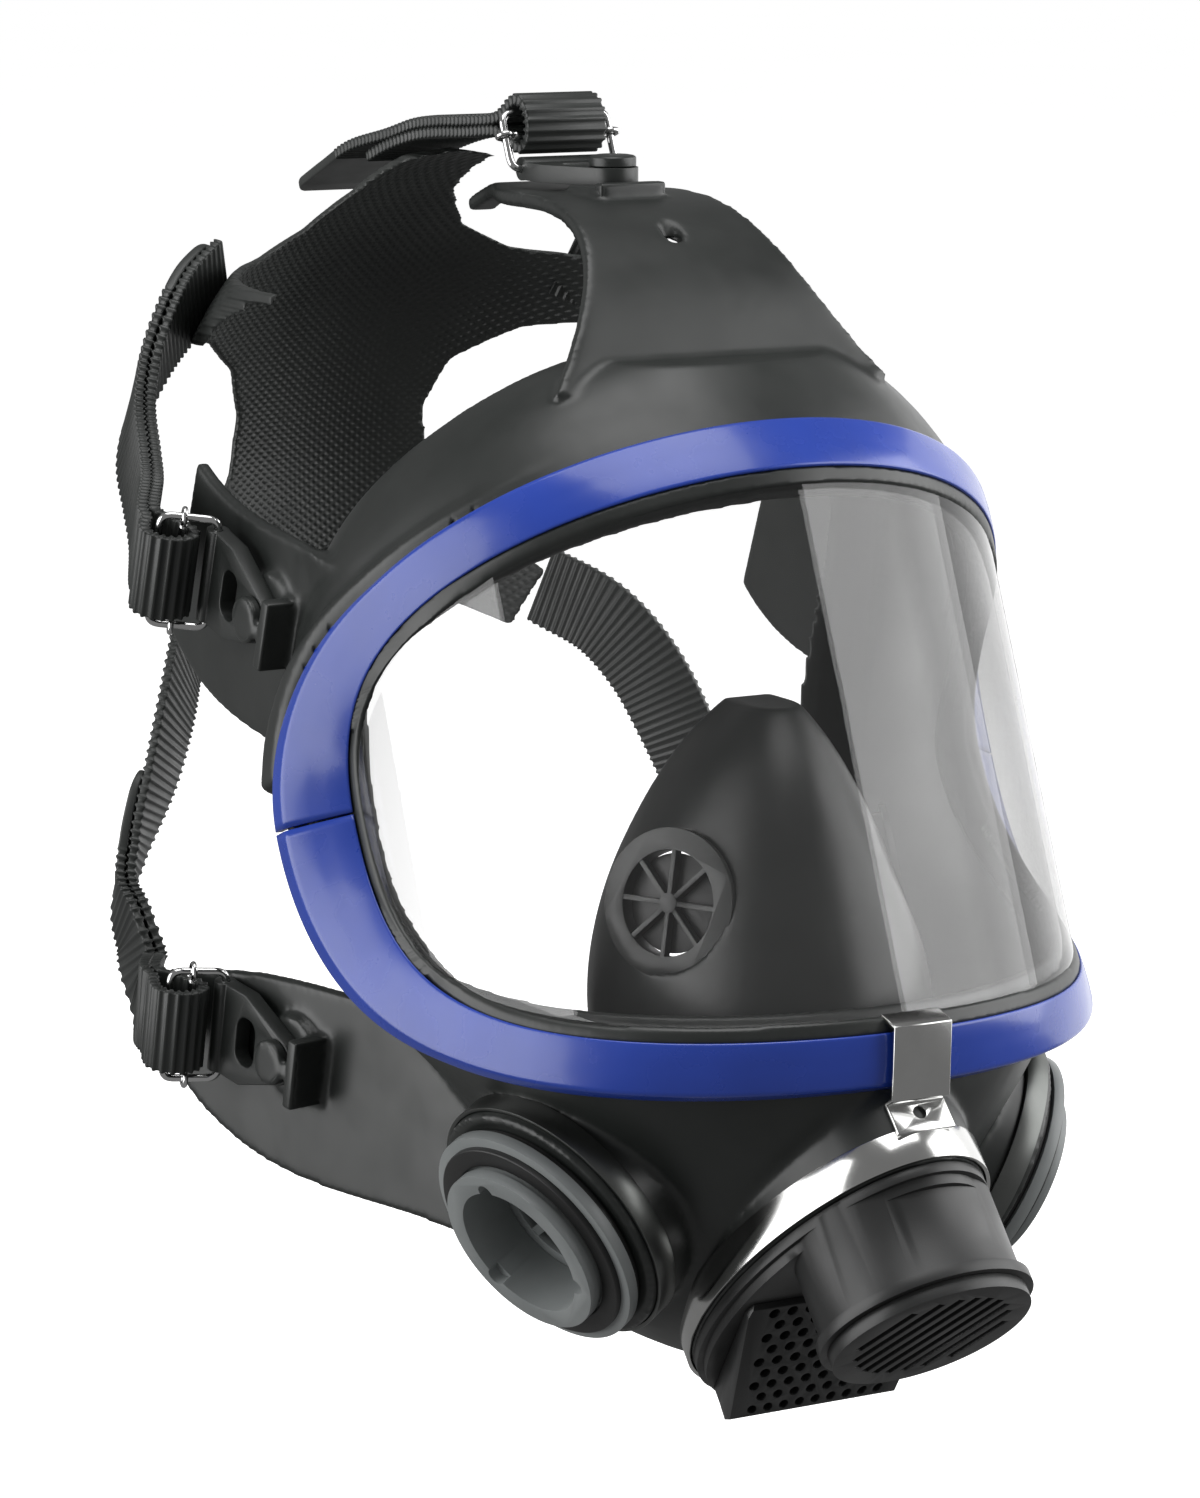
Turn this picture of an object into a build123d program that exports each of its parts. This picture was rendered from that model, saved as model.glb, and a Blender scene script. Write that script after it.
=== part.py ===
"""Full-face respirator: rubber face blank, wrap-round visor, twin filter ports, exhalation
and speech housing, oronasal cup and a five-strap rubber head harness.

Millimetres.  Origin at the centre of the face opening, +Z up as worn, the visor faces -Y and
the wearer's left is +X.
"""
from build123d import *
from math import atan2, cos, hypot, pi, radians, sin, sqrt
import os

os.makedirs("parts", exist_ok=True)

# ---------------------------------------------------------------- driving dimensions
# visor: part of a cylinder whose axis leans back
VISOR_RADIUS = 88.0            # outer face of the visor
VISOR_THICK = 2.2
VISOR_TILT = 22.9              # degrees the axis leans back
VISOR_AXIS_Y = 3.4
VISOR_WRAP = 96.0              # degrees each way from the middle
OPENING_MID = -9.0             # height of the two frame joints along the visor axis
OPENING_UP = 55.0              # opening above the joints
OPENING_DOWN = 80.5            # opening below the joints
LIP = 4.5                      # rubber lip that shows inside the frame

PANE_GAP = 0.3                 # between the pane's edge and the lip

FRAME_RADIUS = 88.8            # inner edge of the frame
FRAME_FLARE = 25.0             # degrees the frame's face leans back
FRAME_WIDTH_TOP = 16.5
FRAME_WIDTH_SIDE = 15.0
FRAME_WIDTH_BOTTOM = 13.3
FRAME_THICK = 2.2
FRAME_RETURN = 5.0             # depth of the frame's outer return
FRAME_SEAM = 0.3               # degrees left open at each frame joint

RUBBER = 3.0                   # wall of the face blank
SEAL_DEPTH = 15.0              # how far the sealing lip turns in

# exhalation and speech housing
VALVE_ORIGIN = (0, -122.2, -119.3)   # centre of the exhalation grille's face
VALVE_DROP = 48.1              # degrees its axis points below horizontal
VALVE_RADIUS = 24.8
VALVE_RIM_RADIUS = 26.5
GRILLE_RADIUS = 24.6
COLLAR_HALF_WIDTH = 31.5       # oval rubber collar under the clamp band
COLLAR_HALF_LENGTH = 59.0
COLLAR_OFFSET = 30.0           # oval's centre, down from the exhalation axis
BAND_BACK = -40.0
BAND_FRONT = -31.5
BAND_THICK = 1.0

# filter ports, mirrored left and right
PORT_CENTRE = (66.2, -48.4, -106.0)  # centre of the flange's face, wearer's left
PORT_AZIMUTH = 74.1            # degrees the port turns out from straight ahead
PORT_DROP = 26.7               # degrees it points down
PORT_FLANGE_RADIUS = 30.0
PORT_RING_RADIUS = 22.5
PORT_BORE_RADIUS = 17.5
PORT_PROUD = 5.4

# oronasal cup control valves
CONTROL_CENTRE = (30.0, -52.0, -27.0)
CONTROL_RADIUS = 18.0
CONTROL_OPENING = 12.8

# buckles
TAB_REACH = 26.0               # stud axis to the hinge bar of the wire frame
TAB_NOSE_RADIUS = 6.4
TAB_HALF_WIDTH = 12.5
TAB_LOW = 2.2                  # underside of the tab above the flap
TAB_HIGH = 6.7
STUD_RADIUS = 3.5
STUD_HEAD_RADIUS = 5.8
WIRE_RADIUS = 1.0
WIRE_HALF_WIDTH = 15.0
STRAP_HALF_WIDTH = 11.5
STRAP_THICK = 3.0
LOOP_START = 34.0              # stud axis to where the loop's two layers meet
LOOP_END = 43.0                # stud axis to the end of the strap's loop
STRAP_START = 46.5             # stud axis to where the strap's run to the pad begins
STRAP_RISE = 15.0              # height of the strap over the flap there

# head that the harness is shaped to
HEAD_CENTRE = (0, 97, 42)
HEAD_RADII = (84, 114, 100)
PAD_THICK = 2.6


VISOR_PLANE = Plane(
    origin=(0, VISOR_AXIS_Y, 0),
    x_dir=(1, 0, 0),
    z_dir=(0, sin(radians(VISOR_TILT)), cos(radians(VISOR_TILT))),
)
VALVE_AXIS = (0, -cos(radians(VALVE_DROP)), -sin(radians(VALVE_DROP)))
VALVE_PLANE = Plane(origin=VALVE_ORIGIN, x_dir=(1, 0, 0), z_dir=VALVE_AXIS)


def save(shape, name):
    """Write one sub-part."""
    export_step(shape, f"parts/{name}.step")


def tube(plane, outer, inner, low, high):
    """Ring between two radii from low to high along the plane's normal."""
    ring = Circle(outer) - Circle(inner)
    return extrude(plane.offset(low) * ring, high - low)


def disc(plane, radius, low, high):
    """Solid round from low to high along the plane's normal."""
    return extrude(plane.offset(low) * Circle(radius), high - low)


def moved_plane(plane, x, y):
    """The same plane with its origin moved within it."""
    return Plane(origin=plane.from_local_coords(Vector(x, y, 0)), x_dir=plane.x_dir, z_dir=plane.z_dir)


def mirrored(shape):
    """The same piece on the other side of the mask."""
    return mirror(shape, about=Plane.YZ)


# ---------------------------------------------------------------- visor opening
def opening_point(turn, radius=FRAME_RADIUS):
    """Point of the opening's edge in the visor's frame; turn is 0 at the top."""
    height = OPENING_UP if cos(turn) > 0 else OPENING_DOWN
    angle = radians(VISOR_WRAP) * sin(turn)
    return Vector(radius * sin(angle), -radius * cos(angle), OPENING_MID + height * cos(turn))


def opening_outward(turn):
    """Unit vector out of the opening in the visor's X-Z plane."""
    height = OPENING_UP if cos(turn) > 0 else OPENING_DOWN
    out = Vector(sin(turn) / (FRAME_RADIUS * radians(VISOR_WRAP)), 0, cos(turn) / height)
    return out.normalized()


def side_profile(inset):
    """Face in the visor's Y-Z plane that cuts the opening, drawn in by inset."""
    steps = 16
    points = []
    for i in range(steps + 1):
        turn = pi * i / steps
        edge = opening_point(turn)
        shrink = 1 - inset / (OPENING_UP if cos(turn) > 0 else OPENING_DOWN)
        height = OPENING_MID + (edge.Z - OPENING_MID) * shrink
        points.append((0, edge.Y - inset * abs(sin(turn)), height))
    front = -FRAME_RADIUS - 15
    curve = Spline(*points)
    rest = Polyline(points[-1], (0, front, points[-1][2]), (0, front, points[0][2]), points[0])
    return make_face([curve, rest])


def opening_cutter(inset):
    """Everything seen through the visor opening, from one side to the other."""
    return VISOR_PLANE.location * extrude(side_profile(inset), 140, dir=(1, 0, 0), both=True)


def make_visor():
    """Clear wrap-round pane that fills the rubber lip."""
    pane = tube(VISOR_PLANE, VISOR_RADIUS, VISOR_RADIUS - VISOR_THICK, -100, 60)
    return pane & opening_cutter(LIP + PANE_GAP)


def frame_width(turn):
    """Width of the frame's face round the opening."""
    end = FRAME_WIDTH_TOP if cos(turn) > 0 else FRAME_WIDTH_BOTTOM
    return FRAME_WIDTH_SIDE + (end - FRAME_WIDTH_SIDE) * cos(turn) ** 2


def frame_section(turn):
    """Hooked section of the frame: a leaning face with a return at its outer edge."""
    edge = opening_point(turn)
    out = opening_outward(turn)
    reach = frame_width(turn) * cos(radians(FRAME_FLARE))
    back = frame_width(turn) * sin(radians(FRAME_FLARE))
    outline = [
        (0, -1),
        (reach, back - 1),
        (reach, back + FRAME_RETURN),
        (reach - FRAME_THICK, back + FRAME_RETURN),
        (reach - FRAME_THICK, back + FRAME_THICK - 1),
        (0, FRAME_THICK - 1),
    ]
    points = [edge + out * o + Vector(0, 1, 0) * k for o, k in outline]
    return make_face(Polyline(*points, close=True))


def half_round(section, first, last):
    """Solid lofted through a section carried round the opening between two turns."""
    steps = 14
    sections = []
    for i in range(steps + 1):
        sections.append(section(radians(first + (last - first) * i / steps)))
    return VISOR_PLANE.location * loft(sections)


visor = make_visor()
frame_upper = half_round(frame_section, -90 + FRAME_SEAM, 90 - FRAME_SEAM)
frame_lower = half_round(frame_section, 90 + FRAME_SEAM, 270 - FRAME_SEAM)
save(visor, "visor_lens")
save(frame_upper, "visor_frame_upper")
save(frame_lower, "visor_frame_lower")


# ---------------------------------------------------------------- rubber face blank
# level, half width, front, widest point and back of the face blank's outside
BODY_LEVELS = [
    (99, 34, -34, -8, 20),
    (88, 56, -46, 0, 42),
    (70, 74, -60, 8, 62),
    (45, 88, -70, 14, 74),
    (0, 95, -80, 14, 82),
    (-40, 93, -100, -4, 82),
    (-65, 79, -108, -15, 70),
    (-90, 59, -98, -25, 55),
    (-115, 48, -82, -25, 40),
    (-135, 36, -62, -22, 20),
    (-146, 18, -48, -24, 2),
]
# height and depth of the sealing edge, from the forehead to under the chin
SEAL_EDGE = [
    (112, -14), (99, -6), (62, 26), (10, 46), (-50, 42), (-105, 12), (-134, -14), (-155, -24),
]


def body_section(level, inset):
    """Oval outline of the face blank at one height, drawn in by inset."""
    height, half_width, front, middle, back = level
    points = []
    count = 20
    for i in range(count):
        turn = 2 * pi * i / count
        side = (half_width - inset) * sin(turn)
        length = (middle - front - inset) if cos(turn) > 0 else (back - middle - inset)
        points.append((side, middle - length * cos(turn), height))
    return make_face(Spline(*points, periodic=True))


def body(inset, lift):
    """Closed body inside the face blank's outside by inset, shortened by lift at each end."""
    sections = []
    for level in BODY_LEVELS:
        share = level[0] / BODY_LEVELS[0][0] if level[0] > 0 else -level[0] / -BODY_LEVELS[-1][0]
        moved = (level[0] - lift * share * (1 if level[0] > 0 else -1),) + level[1:]
        sections.append(body_section(moved, inset))
    return loft(sections)


def behind_edge(shift):
    """Everything behind the sealing edge, moved forward by shift."""
    points = [(0, y - shift, z) for z, y in SEAL_EDGE]
    far = 140
    edge = Spline(*points)
    rest = Polyline(points[-1], (0, far, points[-1][2]), (0, far, points[0][2]), points[0])
    return extrude(make_face([edge, rest]), 120, dir=(1, 0, 0), both=True)


def port_plane(side):
    """Plane on the flange's face of one filter port, normal pointing out; side is -1 or 1."""
    turn = radians(PORT_AZIMUTH)
    drop = radians(PORT_DROP)
    normal = (side * sin(turn) * cos(drop), -cos(turn) * cos(drop), -sin(drop))
    centre = (side * PORT_CENTRE[0], PORT_CENTRE[1], PORT_CENTRE[2])
    return Plane(origin=centre, x_dir=(side * cos(turn), sin(turn), 0), z_dir=normal)


def collar(half_width, half_length, low, high):
    """Oval block along the valve's axis."""
    oval = VALVE_PLANE.offset(low) * Pos(0, -COLLAR_OFFSET) * Ellipse(half_width, half_length)
    return extrude(oval, high - low)


def strip(points, half_widths, thicknesses, across):
    """Flat band lofted along points; across gives the width's direction at each point."""
    path = [Vector(*p) for p in points]
    sections = []
    for i, point in enumerate(path):
        ahead = path[min(i + 1, len(path) - 1)]
        behind = path[max(i - 1, 0)]
        plane = Plane(origin=point, x_dir=Vector(*across[i]), z_dir=ahead - behind)
        width = 2 * half_widths[i]
        sections.append(plane * Rectangle(width, thicknesses[i]))
    return loft(sections)


# ---------------------------------------------------------------- flaps for the buckles
# each flap is a tongue bonded to the shell: centre line and half widths
FOREHEAD_FLAP = [
    (0, -22, 92), (0, -8, 114), (0, 10, 128.5), (0, 34, 133.2), (0, 70, 132.5), (0, 108, 127),
]
FOREHEAD_HALF_WIDTHS = [46, 31, 24, 22, 15, 4]
TEMPLE_FLAP = [(85, 18, 22), (86, 45, 26), (86, 76, 30), (86, 106, 42)]
TEMPLE_HALF_WIDTHS = [27, 27, 27, 25]
LOWER_FLAP = [(54, 5, -96), (64, 38, -94), (76, 78, -92), (86, 110, -86)]
LOWER_HALF_WIDTHS = [26, 26, 25, 15]
FLAP_THICK = 3.2
FLAP_GAP = 0.3

# stud position, direction towards the strap and outward normal of each buckle's seat
BUCKLE_SEATS = {
    "top": ((0, 34.5, 134.8), (0, 1, 0), (0, 0, 1)),
    "temple_left": ((87.8, 47.9, 32.2), (0.05, 0.95, 0.30), (1, -0.053, 0)),
    "lower_left": ((75.4, 66.4, -86.4), (0.20, 0.965, 0.17), (0.98, -0.203, 0)),
}


def seat_plane(name):
    """Plane on a buckle's seat: origin on the stud's axis, X towards the strap."""
    origin, forward, normal = BUCKLE_SEATS[name]
    return Plane(origin=origin, x_dir=forward, z_dir=normal)


def make_seat(plane, rib_top):
    """Raised base, button stud and stop rib moulded on a flap."""
    base = disc(plane, 11, -3, TAB_LOW - 0.2)
    stem = disc(plane, STUD_RADIUS, 0, TAB_HIGH + 1)
    head = disc(plane, STUD_HEAD_RADIUS, TAB_HIGH + 0.3, TAB_HIGH + 2.9)
    rib_height = rib_top + 3
    rib = plane.location * Pos(-9.2, 0, rib_top - rib_height / 2) * Box(3.4, 18, rib_height)
    return base + stem + head + rib


def make_face_blank():
    """Moulding: domed shell, sealing lip, port necks and valve collar."""
    blank = body(0, 0) - behind_edge(0)
    for side in (-1, 1):
        blank = blank + disc(port_plane(side), PORT_FLANGE_RADIUS + 2.5, -24, -5)
    blank = blank + collar(COLLAR_HALF_WIDTH - 0.1, COLLAR_HALF_LENGTH - 0.1, -58, BAND_FRONT + 0.5)
    blank = blank - (body(RUBBER, RUBBER) - behind_edge(RUBBER)) - body(SEAL_DEPTH, RUBBER)
    blank = blank - collar(COLLAR_HALF_WIDTH - 3.2, COLLAR_HALF_LENGTH - 3.2, -70, 0)
    for side in (-1, 1):
        blank = blank - disc(port_plane(side), PORT_RING_RADIUS - 0.4, -40, 10)
    return blank - opening_cutter(LIP)


def make_flap(points, half_widths, across):
    """Tongue of one thickness."""
    return strip(points, half_widths, [FLAP_THICK] * len(points), across)


def finish_flap(flap, plane, rib_top):
    """Flap trimmed clear of the shell and frame, with its stud and stop rib."""
    trimmed = flap - body(-FLAP_GAP, 0) - frame_upper - frame_lower
    tongue = max(trimmed.solids(), key=lambda solid: solid.volume)
    return tongue + make_seat(plane, rib_top)


def make_forehead_flap():
    """Tongue over the forehead with a small vent hole."""
    across = [(1, 0, 0)] * len(FOREHEAD_FLAP)
    flap = make_flap(FOREHEAD_FLAP, FOREHEAD_HALF_WIDTHS, across)
    flap = flap - Pos(0, 7.4, 131) * Rotation(-30, 0, 0) * Cylinder(2.6, 20)
    return finish_flap(flap, seat_plane("top"), 3.4)


def make_side_flap(points, half_widths, name):
    """Tongue at the wearer's left temple or jaw."""
    flap = make_flap(points, half_widths, [(0, 0, 1)] * len(points))
    return finish_flap(flap, seat_plane(name), 9.0)


face_blank = make_face_blank()
temple_flap = make_side_flap(TEMPLE_FLAP, TEMPLE_HALF_WIDTHS, "temple_left")
jaw_flap = make_side_flap(LOWER_FLAP, LOWER_HALF_WIDTHS, "lower_left")
save(face_blank, "face_blank")
save(make_forehead_flap(), "forehead_flap")
save(temple_flap, "temple_flap_left")
save(mirrored(temple_flap), "temple_flap_right")
save(jaw_flap, "jaw_flap_left")
save(mirrored(jaw_flap), "jaw_flap_right")


# ---------------------------------------------------------------- clamp band, clip and housing
def make_band():
    """Stainless clamp band round the rubber collar, split under its screw."""
    outer = collar(COLLAR_HALF_WIDTH + BAND_THICK, COLLAR_HALF_LENGTH + BAND_THICK, BAND_BACK, BAND_FRONT)
    band = outer - collar(COLLAR_HALF_WIDTH, COLLAR_HALF_LENGTH, BAND_BACK - 1, BAND_FRONT + 1)
    bottom = -COLLAR_OFFSET - COLLAR_HALF_LENGTH
    middle = (BAND_BACK + BAND_FRONT) / 2
    gap = VALVE_PLANE * Pos(0, bottom, middle) * Box(3, 8, 12)
    ears = [VALVE_PLANE * Pos(x, bottom - 3.6, middle) * Box(1.6, 6, 8) for x in (-2.3, 2.3)]
    return band - gap + ears[0] + ears[1] - screw_hole(bottom, middle)


def screw_hole(bottom, middle):
    """Clearance hole through both ears."""
    return VALVE_PLANE * Pos(0, bottom - 4, middle) * Rotation(0, 90, 0) * Cylinder(1.25, 12)


def make_band_screw():
    """Pan head screw and nut that draw the band's ears together."""
    bottom = -COLLAR_OFFSET - COLLAR_HALF_LENGTH
    middle = (BAND_BACK + BAND_FRONT) / 2
    place = VALVE_PLANE * Pos(0, bottom - 4, middle) * Rotation(0, 90, 0)
    shank = place * Cylinder(1.2, 10)
    head = place * Pos(0, 0, 4.15) * Cylinder(2.2, 2)
    return shank + head + (place * Pos(0, 0, -5.1) * extrude(RegularPolygon(2.5, 6), 2))


CLIP_WIDTH = 15.6
CLIP_THICK = 1.2
# side view of the clip from inside the opening, over the frame and down onto the band
CLIP_LINE = [(-110.0, -44.6), (-116.2, -46.2), (-115.6, -63.4), (-112.6, -65.0), (-118.6, -71.0)]


def ribbon(points, thick):
    """Closed outline of a strip of constant thickness along a bent line in the Y-Z plane."""
    near = []
    far = []
    for i, (y, z) in enumerate(points):
        behind = points[max(i - 1, 0)]
        ahead = points[min(i + 1, len(points) - 1)]
        first = Vector(y - behind[0], z - behind[1]).normalized() if i > 0 else None
        second = Vector(ahead[0] - y, ahead[1] - z).normalized() if ahead != (y, z) else None
        first = first or second
        second = second or first
        way = (first + second).normalized()
        reach = thick / 2 / way.dot(first)
        near.append((0, y - way.Y * reach, z + way.X * reach))
        far.append((0, y + way.Y * reach, z - way.X * reach))
    return make_face(Polyline(*near, *reversed(far), close=True))


def make_clip():
    """Stainless bracket hooked over the frame's lower edge and held under the band."""
    clip = extrude(ribbon(CLIP_LINE, CLIP_THICK), CLIP_WIDTH / 2, dir=(1, 0, 0), both=True)
    hole = Pos(0, -115, -67.6) * Rotation(45, 0, 0) * Cylinder(1.6, 8)
    return clip - hole


def make_housing():
    """Black housing: oval flange, spigot inside the collar and the exhalation cylinder."""
    spigot = collar(COLLAR_HALF_WIDTH - 3.3, COLLAR_HALF_LENGTH - 3.3, -46, BAND_FRONT + 1)
    spigot = spigot - collar(COLLAR_HALF_WIDTH - 5.6, COLLAR_HALF_LENGTH - 5.6, -47, BAND_FRONT - 2)
    flange = collar(COLLAR_HALF_WIDTH - 0.6, COLLAR_HALF_LENGTH - 0.6, BAND_FRONT + 0.6, -28.4)
    rib = collar(COLLAR_HALF_WIDTH - 2.2, COLLAR_HALF_LENGTH - 2.2, -28.4, -26)
    cylinder = disc(VALVE_PLANE, VALVE_RADIUS, -30, -4)
    rim = disc(VALVE_PLANE, VALVE_RIM_RADIUS, -6.4, -3.6)
    housing = spigot + flange + rib + cylinder + rim
    housing = housing - disc(VALVE_PLANE, 21.5, -28, 0) - disc(VALVE_PLANE, 18.5, -50, -20)
    speech = moved_plane(VALVE_PLANE, 0, -SPEECH_OFFSET)
    housing = housing - disc(speech, 20.5, -29, -20) - disc(speech, 17, -50, -20)
    return housing


SPEECH_OFFSET = 52.0
SPEECH_HALF_WIDTH = 27.0
# side outline of the speech cover, distance down from the exhalation axis and height
COVER_OUTLINE = [(27.4, -25.9), (28.2, -24.6), (62, -11.5), (72, -15.5), (80, -25.9)]
COVER_WALL = 2.0
HOLE_RADIUS = 1.45
HOLE_PITCH = 5.0


def cover_block(inset):
    """Wedge of the speech cover, drawn in by inset."""
    top = COVER_OUTLINE
    points = [
        (0, -(top[0][0] + inset), top[0][1] - inset),
        (0, -(top[1][0] + inset), top[1][1] - inset),
        (0, -top[2][0], top[2][1] - inset * 1.1),
        (0, -(top[3][0] - inset), top[3][1] - inset * 0.6),
        (0, -(top[4][0] - inset), top[4][1] - (1 if inset else 0)),
    ]
    side = make_face(Polyline(*points, close=True))
    return extrude(side, SPEECH_HALF_WIDTH - inset, dir=(1, 0, 0), both=True)


def make_speech_cover():
    """Hollow wedge with staggered holes through its sloping face."""
    plan = Pos(0, -54) * RectangleRounded(2 * SPEECH_HALF_WIDTH, 60, 7)
    block = cover_block(0) & extrude(Plane.XY.offset(-40) * plan, 40)
    block = block - cover_block(COVER_WALL)
    block = block - disc(Plane.XY, VALVE_RADIUS + 0.4, -40, 10)
    slope = atan2(COVER_OUTLINE[2][1] - COVER_OUTLINE[1][1], COVER_OUTLINE[2][0] - COVER_OUTLINE[1][0])
    face = Plane(origin=(0, -45, -18), x_dir=(1, 0, 0), z_dir=(0, sin(slope), cos(slope)))
    holes = []
    for row in range(9):
        down = 16 - row * HOLE_PITCH * 0.8
        shift = HOLE_PITCH / 2 if row % 2 else 0
        for column in range(-5, 6):
            across = column * HOLE_PITCH + shift
            spot = moved_plane(face, across, down)
            clear_of_rim = hypot(spot.origin.X, spot.origin.Y) > VALVE_RADIUS + 3.5
            if abs(across) < SPEECH_HALF_WIDTH - 5 and clear_of_rim:
                holes.append(disc(spot, HOLE_RADIUS, -12, 12))
    return VALVE_PLANE.location * (block - holes)


def make_grille():
    """Exhalation cap: plugged into the cylinder, with a row of slanted slots."""
    cap = disc(VALVE_PLANE, GRILLE_RADIUS, -3.5, 0)
    cap = cap + tube(VALVE_PLANE, 21.4, 19.4, -9, -3.5)
    slant = radians(-24)
    for i in range(-4, 5):
        reach = sqrt(20.0 ** 2 - (i * 4.3) ** 2) - 1.0
        middle = moved_plane(VALVE_PLANE, i * 4.3 * cos(slant), i * 4.3 * sin(slant))
        slot = middle.offset(-2).location * Rotation(0, 0, -24) * Box(2.3, 2 * reach, 8)
        cap = cap - slot
    return cap


def make_exhalation_seat():
    """Ring and three-armed spider that the exhalation disc closes on."""
    seat = tube(VALVE_PLANE, 21.3, 15.0, -27.9, -25.4)
    spider = disc(VALVE_PLANE, 2.6, -27.9, -25.4)
    level = VALVE_PLANE.offset(-26.65)
    for i in range(3):
        spider = spider + level * Rotation(0, 0, 120 * i) * Pos(8.5, 0) * Box(15, 1.8, 2.5)
    return seat + spider


band = make_band()
clip = make_clip()
housing = make_housing()
save(band, "clamp_band")
save(make_band_screw(), "band_screw")
save(clip, "frame_clip")
save(housing, "valve_housing")
save(make_speech_cover(), "speech_cover")
save(make_grille(), "exhalation_grille")
save(make_exhalation_seat(), "exhalation_seat")
save(disc(VALVE_PLANE, 18.0, -25.3, -24.3), "exhalation_disc")
speech_plane = moved_plane(VALVE_PLANE, 0, -SPEECH_OFFSET)
save(disc(speech_plane, 19.5, -28.9, -28.3), "speech_diaphragm")


# ---------------------------------------------------------------- filter ports
PORT_NOTCH = 4.6
PORT_STEP = -8.9               # inner end of the bore that takes a filter


def make_port(side):
    """Pale plastic insert: flange, neck through the rubber and the bayonet ring."""
    plane = port_plane(side)
    neck = tube(plane, PORT_RING_RADIUS - 0.7, PORT_BORE_RADIUS, PORT_STEP, PORT_PROUD)
    neck = neck + tube(plane, PORT_RING_RADIUS - 0.7, PORT_BORE_RADIUS + 0.7, -16, PORT_STEP)
    flange = tube(plane, PORT_FLANGE_RADIUS, PORT_RING_RADIUS - 1, -3, 0)
    ring = tube(plane, PORT_RING_RADIUS, PORT_BORE_RADIUS, PORT_PROUD - 3, PORT_PROUD)
    insert = neck + flange + ring
    for i in range(3):
        turn = radians(120 * i + 40)
        spot = moved_plane(plane, PORT_BORE_RADIUS * cos(turn), PORT_BORE_RADIUS * sin(turn))
        insert = insert - disc(spot, PORT_NOTCH / 2, PORT_PROUD - 3, PORT_PROUD + 1)
    return insert


def make_inhalation_seat(side):
    """Valve seat at the port's inner end with one bar across."""
    plane = port_plane(side)
    bar = plane.offset(-10).location * Rotation(0, 0, 35) * Box(32, 2.4, 1.6)
    return tube(plane, PORT_BORE_RADIUS + 0.6, 14.6, -11, -9) + bar


def make_port_band(side):
    """Clamp band round the rubber neck."""
    return tube(port_plane(side), PORT_FLANGE_RADIUS + 3.6, PORT_FLANGE_RADIUS + 2.6, -13, -7)


for side, word in ((-1, "right"), (1, "left")):
    port = port_plane(side)
    save(make_port(side), f"port_connector_{word}")
    save(tube(port, 29.0, PORT_RING_RADIUS - 0.4, -4.8, -3.1), f"port_gasket_{word}")
    save(make_port_band(side), f"port_clamp_{word}")
    save(make_inhalation_seat(side), f"inhalation_seat_{word}")
    save(disc(port, 15.8, -12.1, -11.2), f"inhalation_disc_{word}")


# ---------------------------------------------------------------- oronasal cup
CUP_LEVELS = [
    (18, 7, -54, -44, -20),
    (8, 15, -64, -42, -10),
    (-10, 25, -75, -40, 0),
    (-30, 34, -84, -38, 5),
    (-55, 40, -92, -38, 5),
    (-80, 36, -92, -40, 5),
    (-100, 30, -86, -40, 0),
    (-113, 22, -72, -38, -10),
]
CUP_WALL = 2.0
# height and depth of the cup's rim against the face
CUP_EDGE = [(25, -40), (10, -28), (-20, -14), (-60, -8), (-100, -22), (-125, -40)]


def control_plane(side):
    """Plane on one control valve of the cup, normal pointing out of the cup."""
    centre = (side * CONTROL_CENTRE[0], CONTROL_CENTRE[1], CONTROL_CENTRE[2])
    return Plane(origin=centre, z_dir=(side * 0.85, -0.45, 0.2))


def make_cup():
    """Soft cup over nose and mouth, open towards the face and at the valve collar."""
    outer = loft([body_section(level, 0) for level in CUP_LEVELS])
    inner_levels = list(CUP_LEVELS)
    inner_levels[0] = (CUP_LEVELS[0][0] - CUP_WALL,) + CUP_LEVELS[0][1:]
    inner_levels[-1] = (CUP_LEVELS[-1][0] + CUP_WALL,) + CUP_LEVELS[-1][1:]
    inner = loft([body_section(level, CUP_WALL) for level in inner_levels])
    edge = Spline(*[(0, y, z) for z, y in CUP_EDGE])
    rest = Polyline(
        (0, CUP_EDGE[-1][1], CUP_EDGE[-1][0]),
        (0, 60, CUP_EDGE[-1][0]),
        (0, 60, CUP_EDGE[0][0]),
        (0, CUP_EDGE[0][1], CUP_EDGE[0][0]),
    )
    behind = extrude(make_face([edge, rest]), 60, dir=(1, 0, 0), both=True)
    cup = outer - inner - behind
    cup = cup - collar(COLLAR_HALF_WIDTH + 0.3, COLLAR_HALF_LENGTH + 0.3, -58.4, 0)
    for side in (-1, 1):
        plane = control_plane(side)
        cup = cup - disc(plane, CONTROL_RADIUS - 1.6, -20, 20)
        cup = cup - disc(port_plane(side), PORT_FLANGE_RADIUS + 3, -26, 0)
    return cup


def make_control_seat(side):
    """Round seat of one control valve: grooved rim, hub and spokes."""
    plane = control_plane(side)
    seat = tube(plane, CONTROL_RADIUS, CONTROL_OPENING, 1.2, 2.8)
    seat = seat + tube(plane, CONTROL_RADIUS - 1.8, CONTROL_OPENING, -2.8, 2.8) + disc(plane, 2.4, 0, 2.8)
    for i in range(4):
        spoke = plane.offset(1.4).location * Rotation(0, 0, 45 * i) * Box(2 * CONTROL_OPENING + 1, 1.2, 2.4)
        seat = seat + spoke
    return seat


save(make_cup(), "oronasal_cup")
for side, word in ((-1, "right"), (1, "left")):
    save(make_control_seat(side), f"control_valve_seat_{word}")
    save(disc(control_plane(side), 12.0, -0.9, -0.1), f"control_valve_disc_{word}")


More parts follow.
